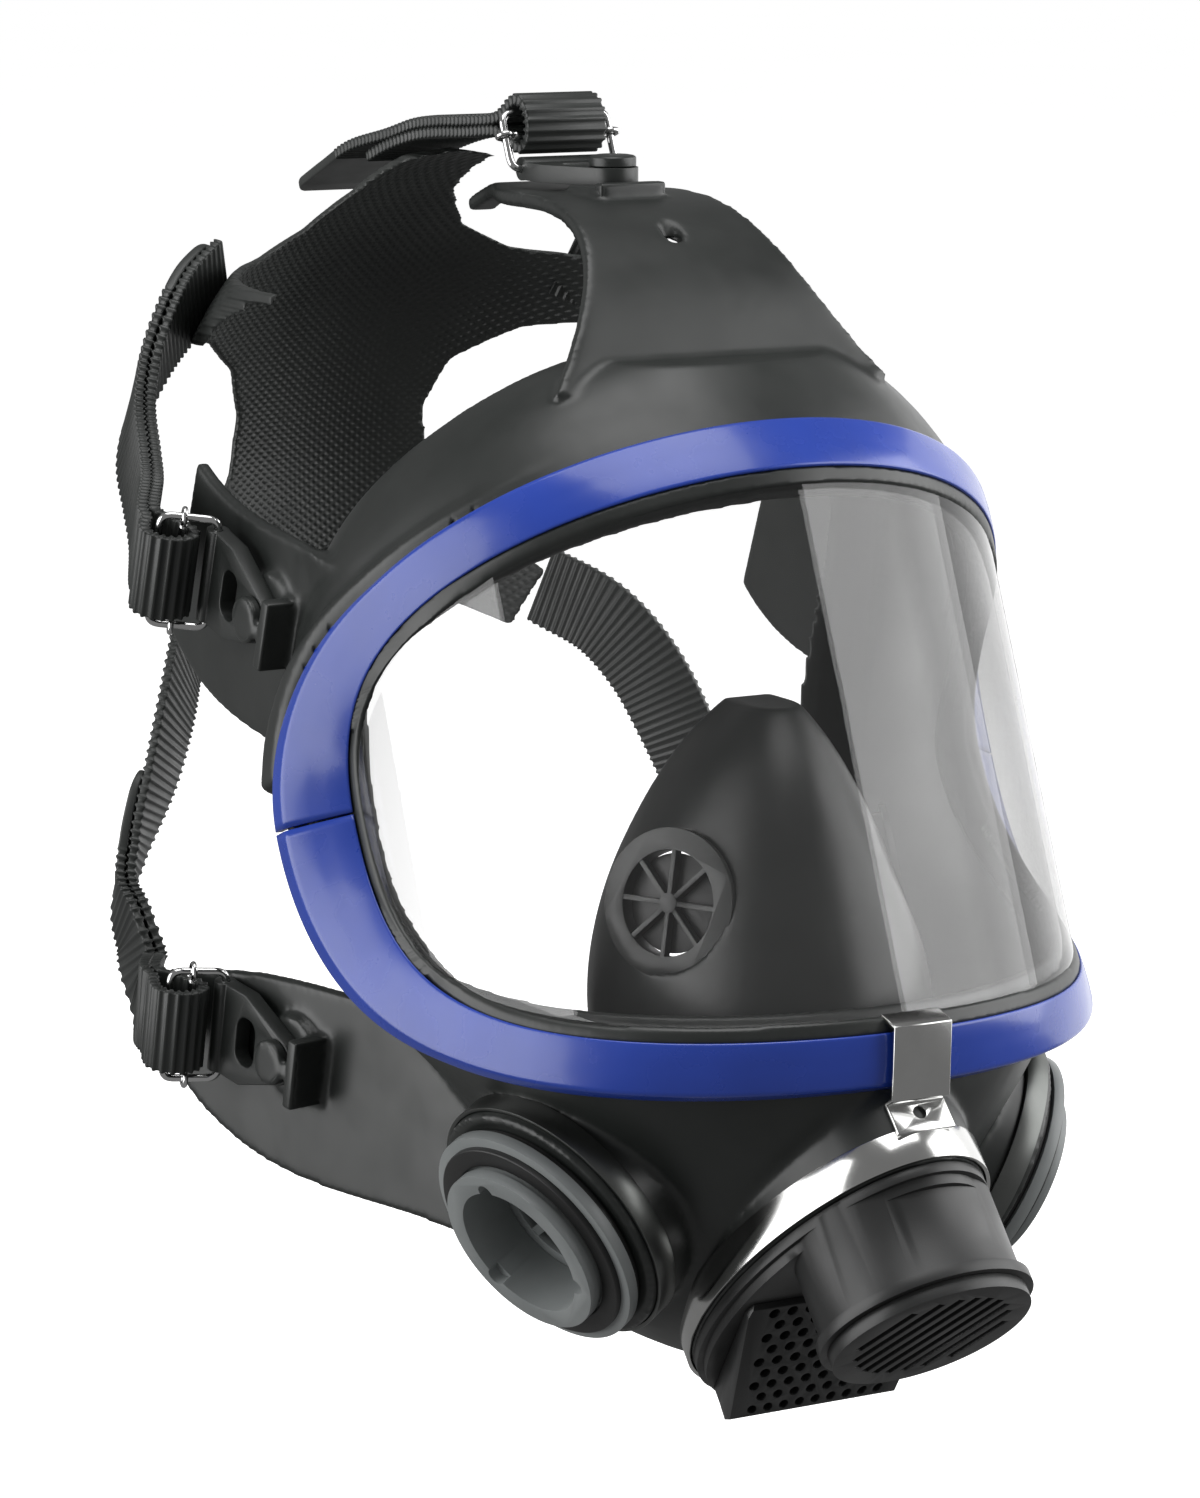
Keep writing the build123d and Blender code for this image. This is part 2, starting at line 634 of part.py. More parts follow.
# ---------------------------------------------------------------- buckles
def local_bar(plane, start, end, radius):
    """Round bar between two points given in a plane's own coordinates."""
    first = plane.from_local_coords(Vector(*start))
    last = plane.from_local_coords(Vector(*end))
    way = last - first
    return extrude(Plane(origin=first, z_dir=way) * Circle(radius), way.length)


HINGE_BAR = (TAB_REACH, 5.0)   # along the tab, height over the flap
FAR_BAR = (32.0, 18.6)
LOCK_BAR = (29.6, 13.2)
ROLL_RADIUS = 3.0
LOOP_INNER = 2.1
LOOP_OUTER = 5.2


def make_tab(plane):
    """Rubber-coated tab: rounded nose with a stud hole, slot and a rolled end."""
    nose = Circle(TAB_NOSE_RADIUS)
    side = TAB_HALF_WIDTH
    corners = [(-2, 6), (15, side), (TAB_REACH, side), (TAB_REACH, -side), (15, -side), (-2, -6)]
    blade = make_face(Polyline(*corners, close=True))
    slot = Pos(13.5, 0) * RectangleRounded(8, 13, 3.5)
    outline = nose + blade - Circle(STUD_RADIUS + 0.1) - slot
    tab = extrude(plane.offset(TAB_LOW) * outline, TAB_HIGH - TAB_LOW)
    ends = [(HINGE_BAR[0], y, HINGE_BAR[1]) for y in (-side, side)]
    tab = tab + local_bar(plane, ends[0], ends[1], ROLL_RADIUS)
    ends = [(HINGE_BAR[0], y, HINGE_BAR[1]) for y in (-side - 1, side + 1)]
    return tab - local_bar(plane, ends[0], ends[1], WIRE_RADIUS + 0.05)


def make_wire_frame(plane):
    """Closed rectangle of round wire, hinged in the tab's roll."""
    x0, z0 = HINGE_BAR
    x1, z1 = FAR_BAR
    w = WIRE_HALF_WIDTH
    corners = [(x0, -w, z0), (x1, -w, z1), (x1, w, z1), (x0, w, z0)]
    frame = None
    for i in range(4):
        start = corners[i]
        bar = local_bar(plane, start, corners[(i + 1) % 4], WIRE_RADIUS)
        knee = plane.location * Pos(*start) * Sphere(WIRE_RADIUS)
        frame = bar + knee if frame is None else frame + bar + knee
    return frame


def make_lock_bar(plane):
    """Loose cross bar with an eye round each side of the wire frame."""
    x, z = LOCK_BAR
    x0, z0 = HINGE_BAR
    x1, z1 = FAR_BAR
    way = plane.from_local_coords(Vector(x1, 0, z1)) - plane.from_local_coords(Vector(x0, 0, z0))
    reach = WIRE_HALF_WIDTH - 1.9
    bar = local_bar(plane, (x, -reach, z), (x, reach, z), WIRE_RADIUS)
    for y in (-WIRE_HALF_WIDTH, WIRE_HALF_WIDTH):
        centre = plane.from_local_coords(Vector(x, y, z))
        eye = Plane(origin=centre, z_dir=way).location * Torus(1.95, 0.75)
        bar = bar + eye
    return bar


def make_strap_loop(plane):
    """Solid of the strap's looped end."""
    x0, z0 = LOCK_BAR
    x1, z1 = FAR_BAR
    loop = None
    for radius, sign in ((LOOP_OUTER, 1), (LOOP_INNER, -1)):
        across = WIRE_HALF_WIDTH if sign < 0 else STRAP_HALF_WIDTH
        ends = [local_bar(plane, (x, -across, z), (x, across, z), radius) for x, z in (LOCK_BAR, FAR_BAR)]
        span = Vector(x1 - x0, 0, z1 - z0)
        middle = Plane(
            origin=plane.from_local_coords(Vector((x0 + x1) / 2, 0, (z0 + z1) / 2)),
            x_dir=plane.from_local_coords(span) - plane.origin,
            z_dir=plane.y_dir,
        )
        web = middle.location * Box(span.length, 2 * radius, 2 * across)
        stadium = ends[0] + ends[1] + web
        if sign > 0:
            layers = Box(LOOP_END - LOOP_START, 2 * STRAP_HALF_WIDTH, 2 * STRAP_THICK)
            middle_point = Pos((LOOP_START + LOOP_END) / 2, 0, STRAP_RISE)
            loop = stadium + plane.location * middle_point * layers
        else:
            loop = loop - stadium
    return loop


def local_points(plane, points):
    """World positions of points given along, across and above a seat."""
    return [tuple(plane.from_local_coords(Vector(*p))) for p in points]


# ---------------------------------------------------------------- straps and head pad
# centre lines of the straps, and the direction of their width at each point of a whole run
TEMPLE_RUN = [
    (97, 108, 51), (93, 120, 58), (89, 133, 68), (83, 141, 79),
    (74, 147, 92), (64, 154, 101), (53, 160, 107),
]
TEMPLE_ACROSS = [
    (0, -0.3, 0.95), (0, -0.4, 0.9), (0, -0.5, 0.85), (0, -0.6, 0.8),
    (0.1, -0.65, 0.75), (0.25, -0.6, 0.7), (0.4, -0.55, 0.7), (0.5, -0.5, 0.7),
]
NECK_RUN = [
    (92, 124, -78), (92, 132, -66), (92, 139, -56), (88, 142, -44),
    (80, 144, -26), (72, 149, -9), (64, 160, 4), (54, 177, 12),
]
NECK_ACROSS = [
    (0, -0.2, 1), (0, -0.35, 0.9), (0.1, -0.6, 0.8), (0.2, -0.7, 0.7), (0.3, -0.7, 0.6),
    (0.5, -0.6, 0.5), (0.5, -0.5, 0.6), (0.4, -0.4, 0.8), (0.3, -0.4, 0.85),
]
TOP_RUN = [
    (0, 97, 148.5), (0, 112, 147.6), (0, 126, 146), (0, 142, 142.6), (0, 155, 138.6),
]
TAIL_RUN = [
    (0, 150, 142.6), (0, 166, 139.5), (0, 184, 133), (0, 203, 125.5),
]


def head_solid(grow):
    """Ellipsoid the harness rests on, grown by a margin."""
    radii = [r + grow for r in HEAD_RADII]
    ball = scale(Sphere(1), by=tuple(radii))
    return Pos(*HEAD_CENTRE) * ball


def make_strap(plane, run, across, thick):
    """Strap from the end of its loop to the pad, trimmed to lie on the pad."""
    start = local_points(plane, [(STRAP_START, 0, STRAP_RISE)])[0]
    points = [start] + run
    half_widths = [STRAP_HALF_WIDTH] * len(points)
    return strip(points, half_widths, thick, across) - head_solid(PAD_THICK + 0.15)


# wearer's left half of the pad's outline as seen from behind
PAD_OUTLINE = [
    (0, 141), (12, 139), (15, 128), (24, 117), (38, 110), (66, 107),
    (68, 90), (48, 86), (34, 76), (29, 62), (31, 46), (40, 30),
    (56, 16), (46, 0), (30, 8), (14, 18), (0, 21),
]


def make_pad():
    """Skeleton head pad: a thin shell cut to a five-armed outline."""
    right = [(x, 97, z) for x, z in PAD_OUTLINE]
    left = [(-x, 97, z) for x, z in PAD_OUTLINE[1:-1]]
    outline = make_face(Polyline(*right, *reversed(left), close=True))
    return (head_solid(PAD_THICK) - head_solid(0)) & extrude(outline, 160, dir=(0, 1, 0))


for name in ("top", "temple_left", "lower_left"):
    plane = seat_plane(name)
    pieces = {
        "buckle_tab": make_tab(plane),
        "buckle_wire": make_wire_frame(plane),
        "buckle_lock_bar": make_lock_bar(plane),
        "strap_loop": make_strap_loop(plane),
    }
    for kind, shape in pieces.items():
        save(shape, f"{kind}_{name}")
        if name != "top":
            save(mirrored(shape), f"{kind}_{name.replace('left', 'right')}")

double = 2 * STRAP_THICK
temple = make_strap(seat_plane("temple_left"), TEMPLE_RUN, TEMPLE_ACROSS, [double] * 8)
neck = make_strap(seat_plane("lower_left"), NECK_RUN, NECK_ACROSS, [double] * 5 + [STRAP_THICK] * 4)
top = make_strap(seat_plane("top"), TOP_RUN, [(1, 0, 0)] * 6, [double] * 6)
top = top + strip(TAIL_RUN, [STRAP_HALF_WIDTH] * 4, [STRAP_THICK] * 4, [(1, 0, 0)] * 4)
save(top, "strap_top")
save(temple, "strap_temple_left")
save(mirrored(temple), "strap_temple_right")
save(neck, "strap_neck_left")
save(mirrored(neck), "strap_neck_right")
save(make_pad(), "head_pad")
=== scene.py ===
from math import cos, pi, radians, sin, sqrt

import bmesh
import bpy
import numpy as np
from mathutils import Matrix, Vector
from mathutils.bvhtree import BVHTree


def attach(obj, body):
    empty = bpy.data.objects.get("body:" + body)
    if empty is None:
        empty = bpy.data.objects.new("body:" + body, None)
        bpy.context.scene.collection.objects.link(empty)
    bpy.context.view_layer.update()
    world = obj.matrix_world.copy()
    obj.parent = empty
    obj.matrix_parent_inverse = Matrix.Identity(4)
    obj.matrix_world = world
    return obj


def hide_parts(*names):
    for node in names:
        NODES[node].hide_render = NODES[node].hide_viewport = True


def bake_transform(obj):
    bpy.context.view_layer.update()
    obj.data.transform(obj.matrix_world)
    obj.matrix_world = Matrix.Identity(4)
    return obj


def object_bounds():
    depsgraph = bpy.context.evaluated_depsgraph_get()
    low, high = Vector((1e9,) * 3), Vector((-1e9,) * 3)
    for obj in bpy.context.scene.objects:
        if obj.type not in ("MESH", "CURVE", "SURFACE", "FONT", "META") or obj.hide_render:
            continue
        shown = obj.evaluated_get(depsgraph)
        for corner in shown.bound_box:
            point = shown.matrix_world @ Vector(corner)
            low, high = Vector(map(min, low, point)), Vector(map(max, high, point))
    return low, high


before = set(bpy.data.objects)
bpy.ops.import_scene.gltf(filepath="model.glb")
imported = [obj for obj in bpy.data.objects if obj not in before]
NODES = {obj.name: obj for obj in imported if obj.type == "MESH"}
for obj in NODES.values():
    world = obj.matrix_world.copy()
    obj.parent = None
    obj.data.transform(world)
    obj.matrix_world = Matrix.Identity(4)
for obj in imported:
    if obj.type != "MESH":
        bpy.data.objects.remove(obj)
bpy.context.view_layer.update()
MM = 0.001


# ---------------------------------------------------------------- materials
def shader(name):
    """New material with its tree, its principled shader and a texture coordinate in metres."""
    material = bpy.data.materials.new(name)
    material.use_nodes = True
    tree = material.node_tree
    principled = tree.nodes["Principled BSDF"]
    coordinate = tree.nodes.new("ShaderNodeTexCoord")
    return material, tree, principled, coordinate.outputs["Object"]


def noise(tree, where, scale, detail=4.0):
    """Noise texture at a scale per metre."""
    node = tree.nodes.new("ShaderNodeTexNoise")
    node.inputs["Scale"].default_value = scale
    node.inputs["Detail"].default_value = detail
    tree.links.new(where, node.inputs["Vector"])
    return node.outputs["Fac"]


def spread(tree, value, low, high, socket):
    """Maps a 0..1 noise on to a range and links it to a socket."""
    node = tree.nodes.new("ShaderNodeMapRange")
    node.inputs["From Min"].default_value = 0.3
    node.inputs["From Max"].default_value = 0.7
    node.inputs["To Min"].default_value = low
    node.inputs["To Max"].default_value = high
    tree.links.new(value, node.inputs["Value"])
    tree.links.new(node.outputs["Result"], socket)


def tint(tree, value, dark, light, socket):
    """Mixes two colours by a noise and links the result to a socket."""
    ramp = tree.nodes.new("ShaderNodeValToRGB")
    ramp.color_ramp.elements[0].position = 0.3
    ramp.color_ramp.elements[1].position = 0.7
    ramp.color_ramp.elements[0].color = (*dark, 1)
    ramp.color_ramp.elements[1].color = (*light, 1)
    tree.links.new(value, ramp.inputs["Fac"])
    tree.links.new(ramp.outputs["Color"], socket)


def bump(tree, principled, heights, strength, distance):
    """Bump from a height value, put in front of whatever bump is there already."""
    node = tree.nodes.new("ShaderNodeBump")
    node.inputs["Strength"].default_value = strength
    node.inputs["Distance"].default_value = distance
    tree.links.new(heights, node.inputs["Height"])
    socket = principled.inputs["Normal"]
    if socket.links:
        tree.links.new(socket.links[0].from_socket, node.inputs["Normal"])
    tree.links.new(node.outputs["Normal"], socket)


def surface(name, dark, light, rough, grain, metallic=0.0, coat=0.0, specular=0.5, bump_mm=0.02):
    """Opaque material with mottled colour, uneven roughness and a fine grain."""
    material, tree, principled, where = shader(name)
    tint(tree, noise(tree, where, 35, 5), dark, light, principled.inputs["Base Color"])
    spread(tree, noise(tree, where, 60, 6), rough[0], rough[1], principled.inputs["Roughness"])
    principled.inputs["Metallic"].default_value = metallic
    principled.inputs["Coat Weight"].default_value = coat
    principled.inputs["Coat Roughness"].default_value = 0.12
    principled.inputs["Specular IOR Level"].default_value = specular
    bump(tree, principled, noise(tree, where, grain, 3), 0.35, bump_mm * MM)
    bump(tree, principled, noise(tree, where, 90, 2), 0.25, 0.12 * MM)
    return material


def clear_pane(name):
    """Thin clear plastic, more reflective the more edge-on it is seen; its see-through colour is painted
    shade that greys it edge-on, well beyond real absorption, with a sharp step standing for the edge of a
    reflected soft box.
    """
    material, tree, principled, where = shader(name)
    tree.nodes.remove(principled)
    facing = tree.nodes.new("ShaderNodeLayerWeight")
    facing.inputs["Blend"].default_value = 0.5
    ramp = tree.nodes.new("ShaderNodeValToRGB")
    # painted shade: see-through grey from 0.985 face-on to 0.5 edge-on, dropping sharply near 0.36 facing
    # where a reflected soft box's edge is meant to fall
    painted_grey_stops = ((0.0, 0.985), (0.33, 0.975), (0.39, 0.83), (0.62, 0.80), (0.85, 0.68), (1.0, 0.5))
    while len(ramp.color_ramp.elements) < len(painted_grey_stops):
        ramp.color_ramp.elements.new(0.5)
    for element, (position, grey) in zip(ramp.color_ramp.elements, painted_grey_stops):
        element.position = position
        element.color = (grey, grey, grey, 1)
    tree.links.new(facing.outputs["Facing"], ramp.inputs["Fac"])
    clear = tree.nodes.new("ShaderNodeBsdfTransparent")
    tree.links.new(ramp.outputs["Color"], clear.inputs["Color"])
    gloss = tree.nodes.new("ShaderNodeBsdfGlossy")
    gloss.inputs["Color"].default_value = (1, 1, 1, 1)
    spread(tree, noise(tree, where, 25, 5), 0.005, 0.03, gloss.inputs["Roughness"])
    steep = tree.nodes.new("ShaderNodeMath")
    steep.operation = "POWER"
    steep.inputs[1].default_value = 5
    tree.links.new(facing.outputs["Facing"], steep.inputs[0])
    fresnel = tree.nodes.new("ShaderNodeMapRange")
    fresnel.inputs["To Min"].default_value = 0.042
    fresnel.inputs["To Max"].default_value = 1.0
    tree.links.new(steep.outputs[0], fresnel.inputs["Value"])
    mix = tree.nodes.new("ShaderNodeMixShader")
    tree.links.new(fresnel.outputs["Result"], mix.inputs["Fac"])
    tree.links.new(clear.outputs[0], mix.inputs[1])
    tree.links.new(gloss.outputs[0], mix.inputs[2])
    tree.links.new(mix.outputs[0], tree.nodes["Material Output"].inputs["Surface"])
    return material


def woven_rubber(name):
    """Rubber with the fine diamond emboss of the head pad."""
    material, tree, principled, where = shader(name)
    tint(tree, noise(tree, where, 30, 5), (0.016, 0.018, 0.017), (0.027, 0.03, 0.028),
         principled.inputs["Base Color"])
    spread(tree, noise(tree, where, 50, 5), 0.42, 0.58, principled.inputs["Roughness"])
    weave = None
    for turn in (0.9, -0.9):
        mapping = tree.nodes.new("ShaderNodeMapping")
        mapping.inputs["Rotation"].default_value = (0, turn, 0)
        tree.links.new(where, mapping.inputs["Vector"])
        wave = tree.nodes.new("ShaderNodeTexWave")
        wave.inputs["Scale"].default_value = 165
        wave.inputs["Distortion"].default_value = 0.3
        tree.links.new(mapping.outputs["Vector"], wave.inputs["Vector"])
        if weave is None:
            weave = wave.outputs["Fac"]
        else:
            both = tree.nodes.new("ShaderNodeMath")
            both.operation = "MULTIPLY"
            tree.links.new(weave, both.inputs[0])
            tree.links.new(wave.outputs["Fac"], both.inputs[1])
            weave = both.outputs[0]
    bump(tree, principled, weave, 0.8, 0.35 * MM)
    return material


RUBBER = surface("rubber", (0.013, 0.015, 0.014), (0.022, 0.0245, 0.023), (0.32, 0.44), 2000, bump_mm=0.012)
STRAP = surface("strap_rubber", (0.018, 0.02, 0.019), (0.03, 0.033, 0.031), (0.34, 0.5), 1800, bump_mm=0.04)
CUP = surface("cup_rubber", (0.010, 0.011, 0.0105), (0.018, 0.0195, 0.0185), (0.30, 0.42), 2400,
              bump_mm=0.008)
PAD = woven_rubber("pad_rubber")
GASKET = surface("gasket", (0.012, 0.012, 0.012), (0.02, 0.02, 0.02), (0.35, 0.5), 1500)
BLUE = surface("blue_frame", (0.014, 0.046, 0.33), (0.019, 0.058, 0.40), (0.22, 0.32), 900, coat=0.3,
               bump_mm=0.008)
BLACK = surface("black_plastic", (0.013, 0.0135, 0.0135), (0.022, 0.0225, 0.0225), (0.34, 0.48), 2600,
                bump_mm=0.035)
PALE = surface("pale_plastic", (0.20, 0.215, 0.215), (0.27, 0.285, 0.285), (0.34, 0.46), 1800, bump_mm=0.012)
FILM = surface("film", (0.3, 0.3, 0.3), (0.4, 0.4, 0.4), (0.3, 0.4), 900)
STEEL = surface("polished_steel", (0.56, 0.56, 0.55), (0.70, 0.70, 0.69), (0.10, 0.2), 700, metallic=1.0,
                bump_mm=0.004)
CHROME = surface("chrome_wire", (0.66, 0.66, 0.66), (0.78, 0.78, 0.78), (0.06, 0.12), 700, metallic=1.0,
                 bump_mm=0.004)
DULL = surface("dull_steel", (0.10, 0.105, 0.10), (0.17, 0.175, 0.17), (0.3, 0.42), 900, metallic=1.0)
CLEAR = clear_pane("clear_visor")


# ---------------------------------------------------------------- mesh helpers
def unit(v):
    """The vector at length one."""
    v = np.asarray(v, float)
    return v / np.linalg.norm(v)


def shade_smooth(mesh):
    """Sets every face of a mesh to smooth shading."""
    mesh.polygons.foreach_set("use_smooth", [True] * len(mesh.polygons))


def make_object(name, points, faces, material):
    """Smooth mesh object from points in millimetres."""
    mesh = bpy.data.meshes.new(name)
    mesh.from_pydata([tuple(float(c) * MM for c in p) for p in points], [], faces)
    mesh.validate()
    obj = bpy.data.objects.new(name, mesh)
    bpy.context.scene.collection.objects.link(obj)
    tidy_normals(mesh)
    shade_smooth(mesh)
    mesh.materials.append(material)
    return obj


def tidy_normals(mesh):
    """Turns every face outward."""
    work = bmesh.new()
    work.from_mesh(mesh)
    bmesh.ops.recalc_face_normals(work, faces=work.faces)
    work.to_mesh(mesh)
    work.free()


def grid_faces(rows, columns, close_rows=False, close_columns=False):
    """Quads of a grid of points stored row by row."""
    faces = []
    for i in range(rows if close_rows else rows - 1):
        for j in range(columns if close_columns else columns - 1):
            a = i * columns + j
            b = i * columns + (j + 1) % columns
            c = ((i + 1) % rows) * columns + (j + 1) % columns
            d = ((i + 1) % rows) * columns + j
            faces.append((a, b, c, d))
    return faces


def sweep(name, sections, material, closed=False):
    """Solid through closed sections; open ends are capped."""
    rows = len(sections)
    columns = len(sections[0])
    points = [p for section in sections for p in section]
    faces = grid_faces(rows, columns, close_rows=closed, close_columns=True)
    if not closed:
        faces.append(tuple(range(columns - 1, -1, -1)))
        faces.append(tuple((rows - 1) * columns + j for j in range(columns)))
    return make_object(name, points, faces, material)


def smooth_path(points, step=1.0, closed=False):
    """Catmull-Rom curve through points, resampled at about one step."""
    p = np.asarray(points, float)
    count = len(p)
    dense = []
    spans = count if closed else count - 1
    for i in range(spans):
        if closed:
            q = [p[(i - 1) % count], p[i], p[(i + 1) % count], p[(i + 2) % count]]
        else:
            first = p[i - 1] if i > 0 else 2 * p[0] - p[1]
            last = p[i + 2] if i + 2 < count else 2 * p[-1] - p[-2]
            q = [first, p[i], p[i + 1], last]
        slope = q[2] - q[0]
        bend = 2 * q[0] - 5 * q[1] + 4 * q[2] - q[3]
        twist = 3 * q[1] - q[0] - 3 * q[2] + q[3]
        for t in np.linspace(0, 1, 24, endpoint=False):
            dense.append(0.5 * (2 * q[1] + slope * t + bend * t ** 2 + twist * t ** 3))
    dense.append(p[0] if closed else p[-1])
    return resample(np.array(dense), step, closed)


def resample(dense, step, closed=False):
    """Evenly spaced points along a polyline."""
    lengths = np.r_[0, np.cumsum(np.linalg.norm(np.diff(dense, axis=0), axis=1))]
    count = max(3, int(round(lengths[-1] / step)) + 1)
    marks = np.linspace(0, lengths[-1], count)
    even = np.stack([np.interp(marks, lengths, dense[:, k]) for k in range(dense.shape[1])], axis=1)
    return even[:-1] if closed else even


def wire(name, path, radius, material, closed=False, around=14):
    """Round wire along an even path."""
    count = len(path)
    sections = []
    normal = None
    for i in range(count):
        if closed:
            way = unit(path[(i + 1) % count] - path[i - 1])
        else:
            way = unit(path[min(i + 1, count - 1)] - path[max(i - 1, 0)])
        if normal is None:
            normal = unit(np.cross(way, [0.3, 0.2, 0.93]))
        normal = unit(normal - way * normal.dot(way))
        side = np.cross(way, normal)
        sections.append([path[i] + radius * (normal * cos(a) + side * sin(a))
                         for a in np.linspace(0, 2 * pi, around, endpoint=False)])
    return sweep(name, sections, material, closed=closed)


def rounded_polyline(corners, radius, closed=True, steps=6):
    """Polyline whose corners are arcs of about one radius."""
    p = [np.asarray(c, float) for c in corners]
    count = len(p)
    out = []
    for i in range(count):
        if not closed and i in (0, count - 1):
            out.append(p[i])
            continue
        before = unit(p[i - 1] - p[i])
        after = unit(p[(i + 1) % count] - p[i])
        first = p[i] + before * radius
        last = p[i] + after * radius
        for t in np.linspace(0, 1, steps):
            out.append((1 - t) ** 2 * first + 2 * t * (1 - t) * p[i] + t ** 2 * last)
    if closed:
        out.append(out[0])
    return np.array(out)


class Place:
    """Origin and three unit directions, in millimetres."""

    def __init__(self, origin, z, x=None):
        self.o = np.asarray(origin, float)
        self.z = unit(z)
        x = np.array([1.0, 0, 0]) if x is None else np.asarray(x, float)
        self.x = unit(x - self.z * self.z.dot(x))
        self.y = np.cross(self.z, self.x)

    def at(self, x, y, z):
        return self.o + self.x * x + self.y * y + self.z * z


def lathe(name, place, profile, material, segments=112, round_edges=0.4):
    """Closed outline of (radius, height) turned about a place's axis, edges rounded."""
    outline = rounded_outline(profile, round_edges)
    sections = []
    for i in range(segments):
        a = 2 * pi * i / segments
        sections.append([place.at(r * cos(a), r * sin(a), z) for r, z in outline])
    return sweep(name, sections, material, closed=True)


def rounded_outline(profile, radius, steps=4):
    """Closed 2-D outline with each corner rounded by up to one radius."""
    p = [np.asarray(c, float) for c in profile]
    count = len(p)
    out = []
    for i in range(count):
        before = p[i - 1] - p[i]
        after = p[(i + 1) % count] - p[i]
        reach = min(radius, np.linalg.norm(before) * 0.45, np.linalg.norm(after) * 0.45)
        first = p[i] + unit(before) * reach
        last = p[i] + unit(after) * reach
        for t in np.linspace(0, 1, steps):
            out.append((1 - t) ** 2 * first + 2 * t * (1 - t) * p[i] + t ** 2 * last)
    return out


def node_copy(node, name):
    """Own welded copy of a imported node's mesh."""
    mesh = NODES[node].data.copy()
    mesh.materials.clear()
    obj = bpy.data.objects.new(name, mesh)
    bpy.context.scene.collection.objects.link(obj)
    work = bmesh.new()
    work.from_mesh(mesh)
    bmesh.ops.remove_doubles(work, verts=work.verts, dist=0.00002)
    bmesh.ops.recalc_face_normals(work, faces=work.faces)
    work.to_mesh(mesh)
    work.free()
    return obj


def swollen_copy(node, amount):
    """Welded copy of a node with its skin moved out by an amount."""
    obj = node_copy(node, f"swollen_{node}")
    for vertex in obj.data.vertices:
        vertex.co += vertex.normal * amount * MM
    return obj


def apply_modifiers(obj):
    """Bakes an object's modifiers into its mesh."""
    graph = bpy.context.evaluated_depsgraph_get()
    mesh = bpy.data.meshes.new_from_object(obj.evaluated_get(graph))
    obj.modifiers.clear()
    old = obj.data
    obj.data = mesh
    bpy.data.meshes.remove(old)


def edged_copy(node, name, width, material, segments=2):
    """Copy of a hard node with its flat faces merged and its sharp edges rounded."""
    obj = node_copy(node, name)
    work = bmesh.new()
    work.from_mesh(obj.data)
    bmesh.ops.dissolve_limit(work, angle_limit=radians(1.2), verts=work.verts, edges=work.edges)
    work.to_mesh(obj.data)
    work.free()
    bevel = obj.modifiers.new("edge", "BEVEL")
    bevel.width = width * MM
    bevel.segments = segments
    bevel.limit_method = "ANGLE"
    bevel.angle_limit = radians(32)
    bevel.harden_normals = False
    apply_modifiers(obj)
    shade_smooth(obj.data)
    obj.data.set_sharp_from_angle(angle=radians(32))
    obj.data.materials.append(material)
    return obj


def soft_copy(node, name, voxel, smooth, material, extra=()):
    """Copy of a moulded node, fused with extra pieces and rounded over all."""
    obj = node_copy(node, name)
    work = bmesh.new()
    for part in [obj, *extra]:
        work.from_mesh(part.data)
    work.to_mesh(obj.data)
    work.free()
    for part in extra:
        bpy.data.objects.remove(part)
    remesh = obj.modifiers.new("remesh", "REMESH")
    remesh.mode = "VOXEL"
    remesh.voxel_size = voxel * MM
    relax = obj.modifiers.new("relax", "SMOOTH")
    relax.factor = 0.5
    relax.iterations = smooth
    apply_modifiers(obj)
    shade_smooth(obj.data)
    obj.data.materials.clear()
    obj.data.materials.append(material)
    return obj


def settle(obj, body, nodes):
    """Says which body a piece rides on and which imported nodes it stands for."""
    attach(obj, body)
    if nodes:
        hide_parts(*nodes)
    return obj


# ---------------------------------------------------------------- visor, frame and rubber lip
VISOR_TILT = radians(22.9)
VISOR = Place((0, 3.4, 0), (0, sin(VISOR_TILT), cos(VISOR_TILT)))
PANE_RADIUS = 88.0
PANE_THICK = 2.2
FRAME_RADIUS = 88.8
WRAP = radians(96)
MIDDLE = -9.0
UP = 55.0
DOWN = 80.5
FLARE = radians(25)
CORNER_WIDTH = 12.4
RETURN = 4.8                   # depth of the frame's outer wall
LIP_INSET = 2.6                # how far the rubber behind the frame stops short of its outer edge
RIM_END = radians(82)          # where the forehead rim dies out, measured from its middle
TUCK = 0.0013                  # metres between the frame's face and the rubber tucked behind it
TUCK_BACK = 20                 # only rubber in front of this depth and outside this radius is tucked
TUCK_RADIUS = 84


def half_height(turn):
    """Height of the opening's upper or lower half."""
    return UP if cos(turn) > 0 else DOWN


def opening(turn):
    """Edge of the opening and the outward direction, in the visor's own axes."""
    height = half_height(turn)
    angle = WRAP * sin(turn)
    edge = np.array([FRAME_RADIUS * sin(angle), -FRAME_RADIUS * cos(angle), MIDDLE + height * cos(turn)])
    out = unit([sin(turn) / (FRAME_RADIUS * WRAP), 0, cos(turn) / height])
    return edge, out


def ring_section(turn, outline):
    """Closed section carried round the opening; the outline is (outward, backward)."""
    edge, out = opening(turn)
    return [VISOR.at(*(edge + out * o + np.array([0, 1.0, 0]) * k)) for o, k in outline]


def frame_width(turn):
    """Width of the frame's face, which is narrowest at the corners of the opening."""
    end = 15.2 if cos(turn) > 0 else 13.0
    widest = 15.0 if abs(sin(turn)) > 0.7 else end
    return CORNER_WIDTH + (widest - CORNER_WIDTH) * abs(cos(2 * turn)) ** 1.3


